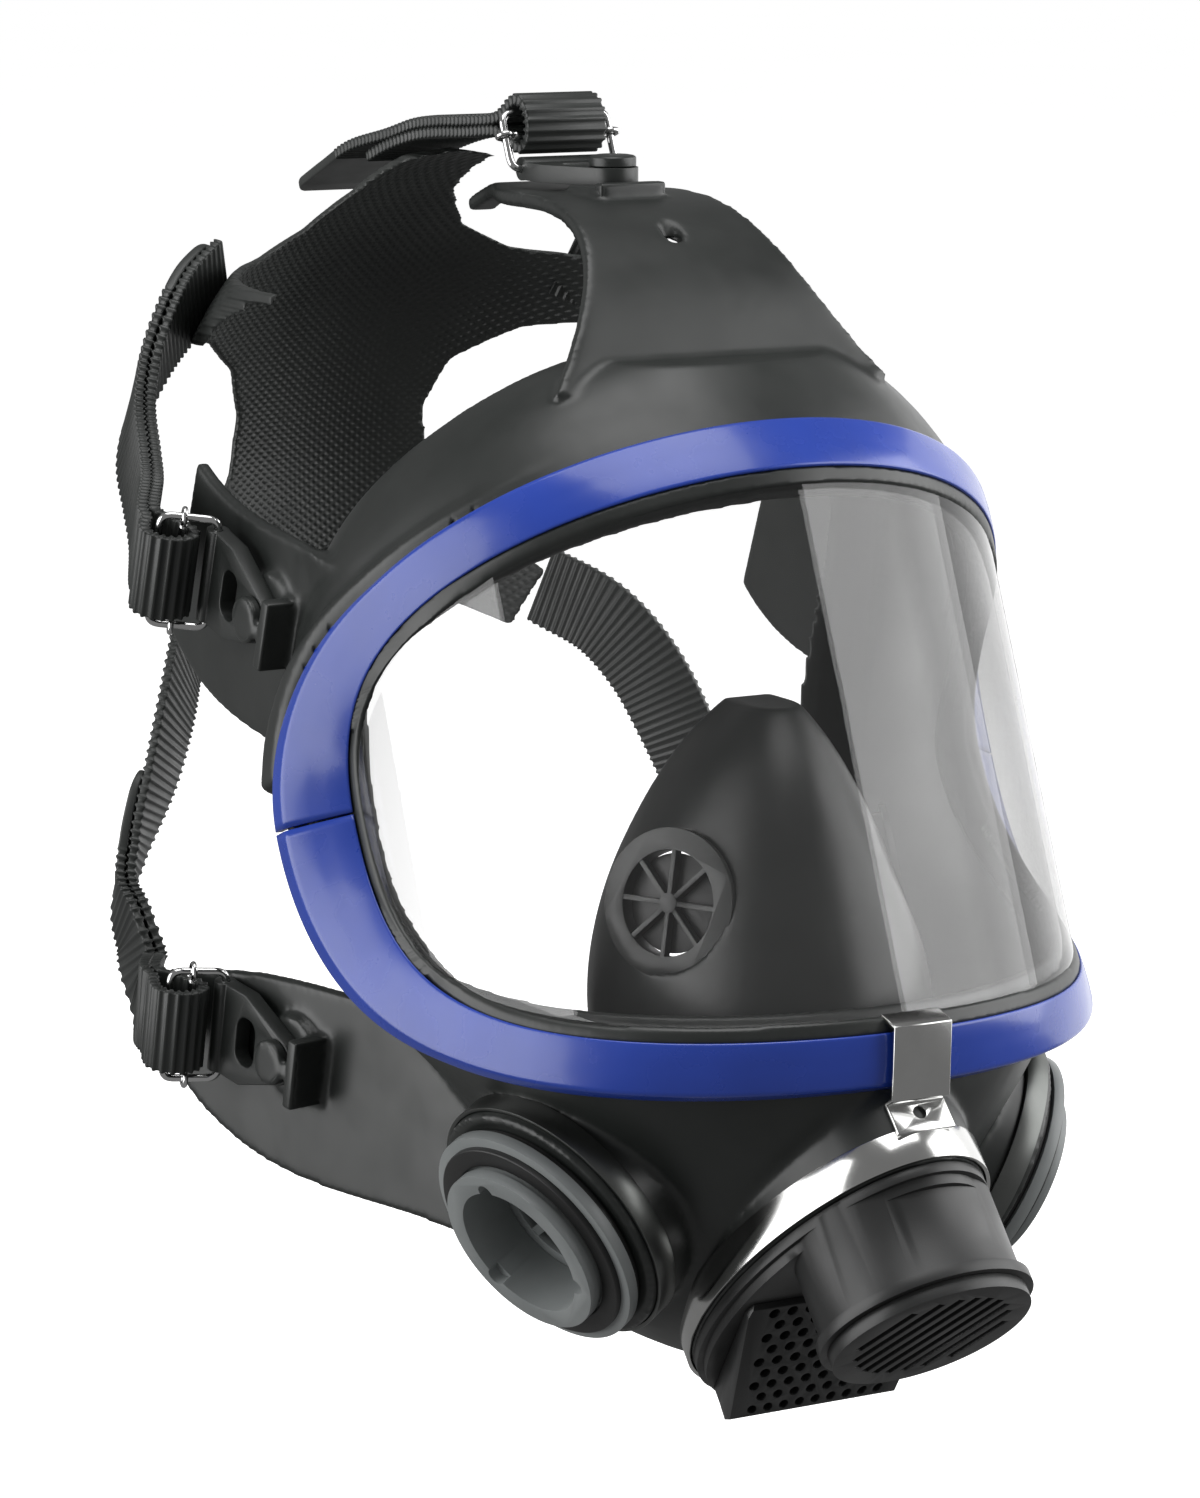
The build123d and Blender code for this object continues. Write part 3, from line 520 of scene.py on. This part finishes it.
def frame_outline(turn):
    """Face leaning back, softly crowned, with a rounded outer corner and a return."""
    width = frame_width(turn)
    reach = width * cos(FLARE)
    back = width * sin(FLARE)
    crown = 0.35
    side = side_share(turn)
    inner = (0.5 * side, -0.9 - 7 * side)
    outer = (reach, back - 1.0)
    face = [(inner[0] + (outer[0] - inner[0]) * f, inner[1] + (outer[1] - inner[1]) * f - crown)
            for f in (0.33, 0.66)]
    wall = [outer, (reach + 0.2, back + RETURN), (reach - 1.9, back + RETURN), (reach - 2.0, back + 1.6)]
    return rounded_outline([(inner[0], 1.2), inner] + face + wall, 1.1, 5)


def side_share(turn):
    """0 over the forehead and chin, rising to 1 at the frame's side joints."""
    return (max(0, abs(sin(turn)) - 0.55) / 0.45) ** 2


def make_frame(name, node, first, last):
    """One half of the frame, mitred to its neighbour at the side joints."""
    sections = []
    for turn in np.linspace(radians(first), radians(last), 150):
        sections.append(ring_section(turn, frame_outline(turn)))
    return settle(sweep(name, sections, BLUE), "mask", [node])


def make_lip():
    """Rubber lip round the pane's edge, inside the frame, with its deep backing."""
    sections = []
    for turn in np.linspace(0, 2 * pi, 260, endpoint=False):
        reach = (frame_width(turn) - LIP_INSET) * cos(FLARE)
        back = (frame_width(turn) - LIP_INSET) * sin(FLARE)
        side = side_share(turn)
        forward = 10.5 * side
        front = [(-4.2 + side, 0.6 - forward), (-3.6 + side, -0.5 - forward),
                 (0.4 * side - 0.2, -0.7 - forward), (0.25, 1.5)]
        backing = [(reach, back + 1.6), (reach + 0.4, back + 5), (4, 14 - 6 * side), (-3.4, 13 - 6 * side)]
        outline = front + backing
        sections.append(ring_section(turn, rounded_outline(outline, 0.8, 3)))
    return sweep("lip", sections, RUBBER, closed=True)


def make_rim():
    """Raised band of rubber that backs the frame across the forehead."""
    sections = []
    for turn in np.linspace(-RIM_END, RIM_END, 150):
        grow = 3.4 * min(1, (RIM_END - abs(turn)) / 0.45)
        reach = frame_width(turn) * cos(FLARE)
        back = frame_width(turn) * sin(FLARE)
        outline = [(reach - 6, back + 3), (reach + grow - 1, back + 3.4), (reach + grow, back + 5),
                   (reach + grow, back + 13), (reach + grow - 3.4, back + 15), (reach - 8, back + 16)]
        sections.append(ring_section(turn, rounded_outline(outline, 0.9, 3)))
    return sweep("rim", sections, RUBBER)


def tuck_behind_frame(obj, halves):
    """Presses whatever part of the shell stands in front of the frame back behind its face."""
    corners = []
    faces = []
    for half in halves:
        faces += [[len(corners) + k for k in face.vertices] for face in half.data.polygons]
        corners += [vertex.co.copy() for vertex in half.data.vertices]
    tree = BVHTree.FromPolygons(corners, faces)
    backward = Vector(VISOR.y)
    for vertex in obj.data.vertices:
        offset = np.array(vertex.co) / MM - VISOR.o
        x, y, z = offset @ VISOR.x, offset @ VISOR.y, offset @ VISOR.z
        radius = np.hypot(x, y)
        if y > TUCK_BACK or radius < TUCK_RADIUS:
            continue
        hit, normal, _, _ = tree.ray_cast(vertex.co, backward, 0.03)
        if hit is not None and normal.dot(backward) < 0:
            vertex.co = hit + backward * TUCK
        elif radius > FRAME_RADIUS:
            around = np.arctan2(x, -y) / WRAP
            along = (z - MIDDLE) / (UP if z > MIDDLE else DOWN)
            if np.hypot(around, along) < 1:
                shrink = FRAME_RADIUS / radius
                vertex.co = Vector(VISOR.at(x * shrink, y * shrink, z) * MM)


def make_pane():
    """Clear pane: two cylinder faces and an edge, bounded by the opening."""
    around = 256
    rings = 24
    edge_gap = 1.0
    points = []
    for radius in (PANE_RADIUS, PANE_RADIUS - PANE_THICK):
        for i in range(rings + 1):
            for j in range(around):
                turn = 2 * pi * j / around
                share = (i / rings) * (1 - edge_gap / half_height(turn))
                angle = WRAP * sin(turn) * share
                height = MIDDLE + half_height(turn) * cos(turn) * share
                points.append(VISOR.at(radius * sin(angle), -radius * cos(angle), height))
    half = (rings + 1) * around
    front = grid_faces(rings + 1, around, close_columns=True)
    faces = front + [tuple(half + k for k in reversed(face)) for face in front]
    edge = rings * around
    for j in range(around):
        k = (j + 1) % around
        faces.append((edge + j, edge + k, half + edge + k, half + edge + j))
    pane = make_object("pane", points, faces, CLEAR)
    work = bmesh.new()
    work.from_mesh(pane.data)
    bmesh.ops.remove_doubles(work, verts=work.verts, dist=0.00001)
    work.to_mesh(pane.data)
    work.free()
    return settle(pane, "mask", ["visor_lens"])


FRAME_HALVES = [
    make_frame("frame_top", "visor_frame_upper", -89.75, 89.75),
    make_frame("frame_bottom", "visor_frame_lower", 90.25, 269.75),
]
make_pane()


# ---------------------------------------------------------------- camera, lights and backdrop
def make_stage():
    """Pale floor that only the camera sees, and a surround that is white to look at and dim as light."""
    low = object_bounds()[0][2]
    gap = 0.10
    bpy.ops.mesh.primitive_plane_add(size=80, location=(0, 0, low - gap))
    floor = bpy.context.object
    floor.name = "floor"
    floor.visible_diffuse = False
    floor.visible_glossy = False
    material, tree, principled, where = shader("pale_floor")
    tint(tree, noise(tree, where, 3), (0.90, 0.90, 0.90), (0.92, 0.92, 0.92), principled.inputs["Base Color"])
    spread(tree, noise(tree, where, 8), 0.9, 1.0, principled.inputs["Roughness"])
    principled.inputs["Specular IOR Level"].default_value = 0.0
    principled.inputs["Emission Color"].default_value = (1, 1, 1, 1)
    principled.inputs["Emission Strength"].default_value = 0.8
    floor.data.materials.append(material)
    world = bpy.context.scene.world or bpy.data.worlds.new("surround")
    bpy.context.scene.world = world
    world.use_nodes = True
    tree = world.node_tree
    background = tree.nodes["Background"]
    background.inputs["Color"].default_value = (1, 1, 1, 1)
    rays = tree.nodes.new("ShaderNodeLightPath")
    strength = tree.nodes.new("ShaderNodeMapRange")
    strength.inputs["To Min"].default_value = 0.22
    strength.inputs["To Max"].default_value = 1.0
    tree.links.new(rays.outputs["Is Camera Ray"], strength.inputs["Value"])
    tree.links.new(strength.outputs["Result"], background.inputs["Strength"])


def make_camera():
    """Camera at three-quarter view, a little above."""
    azimuth = radians(-28.2)
    elevation = radians(10.9)
    right = np.array([cos(azimuth), sin(azimuth), 0])
    back = np.array([sin(azimuth) * cos(elevation), -cos(azimuth) * cos(elevation), sin(elevation)])
    up = np.cross(back, right)
    distance = 1200
    eye = (back * distance - right * 19.5 - up * 1.1) * MM
    data = bpy.data.cameras.new("camera")
    data.sensor_fit = "AUTO"
    data.sensor_width = 36
    data.lens = 115.47
    camera = bpy.data.objects.new("camera", data)
    matrix = Matrix((right, up, back)).transposed().to_4x4()
    matrix.translation = Vector(eye)
    camera.matrix_world = matrix
    bpy.context.scene.collection.objects.link(camera)
    bpy.context.scene.camera = camera


def make_light(name, position, across, up, size, power):
    """Soft box at a position, in metres, with its width and height along two directions."""
    data = bpy.data.lights.new(name, "AREA")
    data.shape = "RECTANGLE"
    data.size = size[0]
    data.size_y = size[1]
    data.energy = power
    light = bpy.data.objects.new(name, data)
    side = unit(across)
    face = unit(np.cross(side, up))
    matrix = Matrix((side, np.cross(face, side), face)).transposed().to_4x4()
    matrix.translation = Vector(position)
    light.matrix_world = matrix
    bpy.context.scene.collection.objects.link(light)


make_stage()
make_camera()
LENGTHWAYS = (0, 0.389, 0.921)
make_light("left_box", (-1.32, 0.33, 0.15), (-0.19, -0.917, 0.355), LENGTHWAYS, (1.3, 1.4), 20)
make_light("top_box", (-0.2, -0.2, 1.5), (1, 0, 0), (0, 1, 0), (1.2, 1.2), 16)
make_light("right_box", (1.09, -0.53, 0.49), (0.527, 0.784, -0.331), LENGTHWAYS, (1.48, 1.3), 20)
make_light("back_box", (1.235, 0.58, 0.02), (-0.392, 0.848, -0.358), LENGTHWAYS, (1.25, 1.3), 6)
bpy.context.scene.view_settings.view_transform = "Standard"


# ---------------------------------------------------------------- rubber face blank
SEATS = {
    "top": Place((0, 34.5, 134.8), (0, 0, 1), (0, 1, 0)),
    "temple_left": Place((87.8, 47.9, 32.2), (1, -0.053, 0), (0.05, 0.95, 0.30)),
    "lower_left": Place((75.4, 66.4, -86.4), (0.98, -0.203, 0), (0.20, 0.965, 0.17)),
}


def flipped(place):
    """The same place on the other side of the mask; its x, y and z keep their meaning."""
    mirror = [-1, 1, 1]
    return Place(place.o * mirror, place.z * mirror, place.x * mirror)


SEATS["temple_right"] = flipped(SEATS["temple_left"])
SEATS["lower_right"] = flipped(SEATS["lower_left"])
STUD_HEAD = [(0.01, 6.9), (5.9, 6.9), (5.9, 9.2), (5.1, 9.7), (4.4, 9.5), (0.01, 9.5)]
RIB_TOP = 9.2
LOW_RIB_TOP = {"top": 3.4}


def box_at(name, place, low, high, material, edge=0.5):
    """Box in a place's own axes with rounded edges."""
    points = [place.at(x, y, z)
              for x in (low[0], high[0])
              for y in (low[1], high[1])
              for z in (low[2], high[2])]
    faces = [(0, 1, 3, 2), (4, 6, 7, 5), (0, 4, 5, 1), (2, 3, 7, 6), (0, 2, 6, 4), (1, 5, 7, 3)]
    obj = make_object(name, points, faces, material)
    bevel = obj.modifiers.new("edge", "BEVEL")
    bevel.width = edge * MM
    bevel.segments = 3
    apply_modifiers(obj)
    shade_smooth(obj.data)
    obj.data.set_sharp_from_angle(angle=radians(35))
    return obj


FLAPS = ["forehead_flap", "temple_flap_left", "temple_flap_right", "jaw_flap_left", "jaw_flap_right"]
blank = soft_copy("face_blank", "blank", 0.9, 10, RUBBER,
                  extra=[make_lip(), make_rim()] + [swollen_copy(flap, 0.35) for flap in FLAPS])
tuck_behind_frame(blank, FRAME_HALVES)
settle(blank, "mask", ["face_blank", *FLAPS])
for seat_name, seat in SEATS.items():
    settle(lathe(f"stud_{seat_name}", seat, STUD_HEAD, RUBBER, 64, 0.3), "mask", [])
    top = LOW_RIB_TOP.get(seat_name, RIB_TOP)
    settle(box_at(f"rib_{seat_name}", seat, (-11, -9.2, -2), (-7.4, 9.2, top), RUBBER, 0.7), "mask", [])


# ---------------------------------------------------------------- straps
HEAD_CENTRE = np.array([0.0, 97, 42])
STRAP_HALF = 11.5
LAYER = 2.7
LAYER_SHIFT = 1.5              # each layer of a doubled strap lies this far off their middle
STRAP_START = (45.5, 0, 15)    # where a strap leaves its loop, in its seat's axes
BLEND_START = (62, 0, 13)      # point in a seat's axes where a strap was meant to start following its buckle; make_strap works it out but does not use it
BLEND_END = (44, 0, 15)
TAPER = 7                      # length of the rounded tip of a strap
RIB_PITCH = 2.3
RIB_DEPTH = 0.55
TEMPLE_RUN = [(97, 108, 51), (93, 120, 58), (89, 133, 68), (83, 141, 79), (74, 147, 92), (64, 154, 101),
              (53, 160, 107)]
TEMPLE_ACROSS = [(0, -0.3, 0.95), (0, -0.4, 0.9), (0, -0.5, 0.85), (0, -0.6, 0.8), (0.1, -0.65, 0.75),
                 (0.25, -0.6, 0.7), (0.4, -0.55, 0.7), (0.5, -0.5, 0.7)]
NECK_RUN = [(92, 124, -78), (92, 132, -66), (92, 139, -56), (88, 142, -44), (80, 144, -26), (72, 149, -9),
            (64, 160, 4), (54, 177, 12)]
NECK_ACROSS = [(0, -0.2, 1), (0, -0.35, 0.9), (0.1, -0.6, 0.8), (0.2, -0.7, 0.7), (0.3, -0.7, 0.6),
               (0.5, -0.6, 0.5), (0.5, -0.5, 0.6), (0.4, -0.4, 0.8), (0.3, -0.4, 0.85)]
TOP_RUN = [(0, 97, 148.5), (0, 112, 147.6), (0, 126, 146), (0, 142, 142.6), (0, 155, 138.6)]
TAIL_RUN = [(0, 166, 139.5), (0, 184, 133), (0, 203, 125.5)]
LOOP = [(40, 12.7), (35, 11.2), (30.4, 9.9), (26.6, 11.7), (25.4, 15.8), (27.2, 20.2), (31.4, 22.2),
        (35.8, 20.9), (40, 18.3)]


def layer_points(points, across, shift):
    """Run moved off its middle by one amount per point, away from the head when positive."""
    p = np.asarray(points, float)
    out = []
    for i in range(len(p)):
        way = unit(p[min(i + 1, len(p) - 1)] - p[max(i - 1, 0)])
        normal = unit(np.cross(way, across[i]))
        if normal.dot(p[i] - HEAD_CENTRE) < 0:
            normal = -normal
        out.append(p[i] + normal * shift[i])
    return out


def strap_controls(seat, run, across, main_shift, tail_points, tail_across):
    """Points and width directions of a strap from pad to loop and back along its tail."""
    points = [tuple(seat.at(*STRAP_START))] + list(run)
    main = layer_points(points, across, main_shift)
    controls = [np.r_[p, unit(a)] for p, a in zip(main[::-1], across[::-1])]
    side = seat.y if seat.y.dot(across[0]) > 0 else -seat.y
    controls += [np.r_[seat.at(x, 0, z), side] for x, z in LOOP]
    controls += [np.r_[p, unit(a)] for p, a in zip(tail_points, tail_across)]
    return np.array(controls)


def make_strap(name, nodes, seat, controls, smooth_end):
    """Ribbed strap swept along its controls; the last part of the tail is smooth."""
    path = smooth_path(controls, 0.38)
    length = np.r_[0, np.cumsum(np.linalg.norm(np.diff(path[:, :3], axis=0), axis=1))]
    total = length[-1]
    sections = []
    for i in range(len(path)):
        point = path[i, :3]
        way = unit(path[min(i + 1, len(path) - 1), :3] - path[max(i - 1, 0), :3])
        across = unit(path[i, 3:] - way * way.dot(path[i, 3:]))
        normal = np.cross(way, across)
        to_end = total - length[i]
        ribbed = min(1.0, max(0.0, (to_end - smooth_end) / 1.0))
        phase = (length[i] / RIB_PITCH) % 1.0
        rib = RIB_DEPTH * ribbed * (max(0.0, cos(2 * pi * phase)) ** 0.7)
        half = LAYER / 2 - RIB_DEPTH * 0.55 * ribbed
        width = STRAP_HALF - 0.35 + 0.35 * rib / RIB_DEPTH
        if to_end < TAPER:
            width *= sqrt(max(0.05, 1 - ((TAPER - to_end) / 7.4) ** 2)) * 0.45 + 0.55
            half *= 0.75 + 0.25 * to_end / TAPER
        if i in (0, len(path) - 1):
            width *= 0.97
            half *= 0.7
        outline = rounded_outline([(-width, -half - rib), (width, -half - rib), (width, half + rib),
                                   (-width, half + rib)], 0.55, 3)
        sections.append([point + across * w + normal * n for w, n in outline])
    strap = sweep(name, sections, STRAP)
    start = Vector(seat.at(*BLEND_START)) * MM
    end = Vector(seat.at(*BLEND_END)) * MM
    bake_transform(strap)
    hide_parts(*nodes)
    return strap


def strap_set(kind, side):
    """One strap; side is '', 'left' or 'right'."""
    label = f"{kind}_{side}" if side else kind
    sign = -1 if side == "right" else 1
    turn = np.array([sign, 1, 1])
    seat_label = label.replace("neck", "lower")
    seat = SEATS[seat_label]
    start = tuple(seat.at(*STRAP_START))
    if kind == "top":
        run = TOP_RUN
        across = [(1, 0, 0)] * 6
        doubled = layer_points([start] + TOP_RUN[:4], across, [LAYER_SHIFT] * 5)
        tail = doubled + [np.array(p, float) for p in TAIL_RUN]
        tail_across = [(1, 0, 0)] * len(tail)
        shift = [-LAYER_SHIFT] * 6
        smooth_end = 30
    else:
        source, ways = (TEMPLE_RUN, TEMPLE_ACROSS) if kind == "temple" else (NECK_RUN, NECK_ACROSS)
        run = [tuple(np.array(p) * turn) for p in source]
        across = [tuple(np.array(a) * turn) for a in ways]
        layers = len(run) + 1 if kind == "temple" else 6
        shift = [-LAYER_SHIFT] * (len(run) + 1)
        if kind == "neck":
            shift = [-LAYER_SHIFT] * 5 + [-0.9, 0, 0, 0]
        first = [start] + run
        tail = layer_points(first[:layers], across[:layers], [LAYER_SHIFT] * layers)
        tail_across = across[:layers]
        smooth_end = 22
    controls = strap_controls(seat, run, across, shift, tail, tail_across)
    nodes = [f"strap_{label}", f"strap_loop_{seat_label}"]
    make_strap(f"webbing_{label}", nodes, seat, controls, smooth_end)


strap_set("top", "")
for word in ("left", "right"):
    strap_set("temple", word)
    strap_set("neck", word)


# ---------------------------------------------------------------- buckles
HINGE_BAR = (26.0, 5.0)
FAR_BAR = (32.0, 18.6)
LOCK_BAR = (29.6, 13.2)
WIRE_HALF = 15.0
WIRE_RADIUS = 1.0
EYE_RADIUS = 1.95


def make_buckle(label, seat):
    """Tab, wire rectangle and lock bar of one buckle."""
    body = f"buckle_{label}"
    tab = edged_copy(f"buckle_tab_{label}", f"tab_{label}", 0.7, RUBBER, 3)
    settle(tab, body, [f"buckle_tab_{label}"])
    corners = [seat.at(x, y, z) for (x, z), y in ((HINGE_BAR, -WIRE_HALF), (FAR_BAR, -WIRE_HALF),
                                                  (FAR_BAR, WIRE_HALF), (HINGE_BAR, WIRE_HALF))]
    path = resample(rounded_polyline(corners, 3.0), 0.6, closed=True)
    settle(wire(f"wire_{label}", path, WIRE_RADIUS, CHROME, closed=True), body, [f"buckle_wire_{label}"])
    x, z = LOCK_BAR
    along = unit(seat.at(FAR_BAR[0], 0, FAR_BAR[1]) - seat.at(HINGE_BAR[0], 0, HINGE_BAR[1]))
    straight = np.linspace(seat.at(x, -WIRE_HALF + 1.9, z), seat.at(x, WIRE_HALF - 1.9, z), 20)
    bar = wire(f"lock_{label}", straight, WIRE_RADIUS, CHROME)
    settle(bar, body, [f"buckle_lock_bar_{label}"])
    for y in (-WIRE_HALF, WIRE_HALF):
        eye_place = Place(seat.at(x, y, z), along, seat.y)
        circle = np.array([eye_place.at(EYE_RADIUS * cos(a), EYE_RADIUS * sin(a), 0)
                           for a in np.linspace(0, 2 * pi, 40, endpoint=False)])
        eye = wire(f"eye_{label}_{'a' if y < 0 else 'b'}", circle, 0.75, CHROME, closed=True)
        settle(eye, body, [])


for seat_name, seat in SEATS.items():
    make_buckle(seat_name, seat)


# ---------------------------------------------------------------- pad, cup and hard pieces
pad = soft_copy("head_pad", "pad", 0.9, 8, PAD)
settle(pad, "mask", ["head_pad"])
cup = soft_copy("oronasal_cup", "cup", 0.9, 10, CUP)
settle(cup, "mask", ["oronasal_cup"])

for node, material, width in (
    ("valve_housing", BLACK, 0.5), ("exhalation_grille", BLACK, 0.35),
    ("exhalation_seat", BLACK, 0.3), ("frame_clip", STEEL, 0.3), ("clamp_band", STEEL, 0.2),
    ("band_screw", STEEL, 0.2), ("speech_diaphragm", FILM, 0.05),
):
    settle(edged_copy(node, f"fine_{node}", width, material), "mask", [node])
for word in ("left", "right"):
    for node, material, width in (
        ("port_connector", PALE, 0.4), ("port_gasket", GASKET, 0.2), ("port_clamp", DULL, 0.2),
        ("inhalation_seat", PALE, 0.25), ("control_valve_seat", CUP, 0.3),
    ):
        label = f"{node}_{word}"
        settle(edged_copy(label, f"fine_{label}", width, material), "mask", [label])
    for node in ("inhalation_disc", "control_valve_disc"):
        label = f"{node}_{word}"
        settle(edged_copy(label, f"fine_{label}", 0.2, GASKET), label, [label])
exhalation = edged_copy("exhalation_disc", "fine_exhalation_disc", 0.2, GASKET)
settle(exhalation, "exhalation_disc", ["exhalation_disc"])

VALVE_DROP = radians(48.1)
VALVE = Place((0, -122.2, -119.3), (0, -cos(VALVE_DROP), -sin(VALVE_DROP)), (1, 0, 0))
OVAL_HALF_WIDTH = 31.5
OVAL_HALF_LENGTH = 59
OVAL_MIDDLE = 30
OVAL_WALL = 3.2
COVER_HALF_WIDTH = 27
PORT_TURN = radians(74.1)
PORT_DROP = radians(26.7)
SEAL_RING = [(22.6, -0.3), (22.6, 1.5), (27.4, 1.5), (27.4, -0.3)]
SEAT_BAR_TURN = radians(125)
SEAT_BAR_LOW = (-16, -1.2, -10.8)
SEAT_BAR_HIGH = (16, 1.2, -9.1)


def make_speech_cover():
    """Perforated wedge, drawn in at its lower end to stay inside the housing's oval."""
    cover = edged_copy("speech_cover", "fine_speech_cover", 0.3, BLACK)
    for vertex in cover.data.vertices:
        offset = np.array(vertex.co) / MM - VALVE.o
        x, y, z = offset @ VALVE.x, offset @ VALVE.y, offset @ VALVE.z
        along = (-y - OVAL_MIDDLE) / OVAL_HALF_LENGTH
        room = OVAL_HALF_WIDTH * sqrt(max(0.05, 1 - along ** 2)) - OVAL_WALL
        vertex.co = Vector(VALVE.at(x * min(1, room / COVER_HALF_WIDTH), y, z) * MM)
    return settle(cover, "mask", ["speech_cover"])


def make_port_face(word, side):
    """Dark sealing ring on one port's flange and the second bar of its valve seat."""
    outward = (side * sin(PORT_TURN) * cos(PORT_DROP), -cos(PORT_TURN) * cos(PORT_DROP), -sin(PORT_DROP))
    place = Place((side * 66.2, -48.4, -106.0), outward, (side * cos(PORT_TURN), sin(PORT_TURN), 0))
    settle(lathe(f"seal_ring_{word}", place, SEAL_RING, GASKET), "mask", [])
    crossed = Place(place.o, place.z, cos(SEAT_BAR_TURN) * place.x + sin(SEAT_BAR_TURN) * place.y)
    bar = box_at(f"seat_bar_{word}", crossed, SEAT_BAR_LOW, SEAT_BAR_HIGH, PALE, 0.3)
    settle(bar, "mask", [])


make_speech_cover()
make_port_face("right", -1)
make_port_face("left", 1)
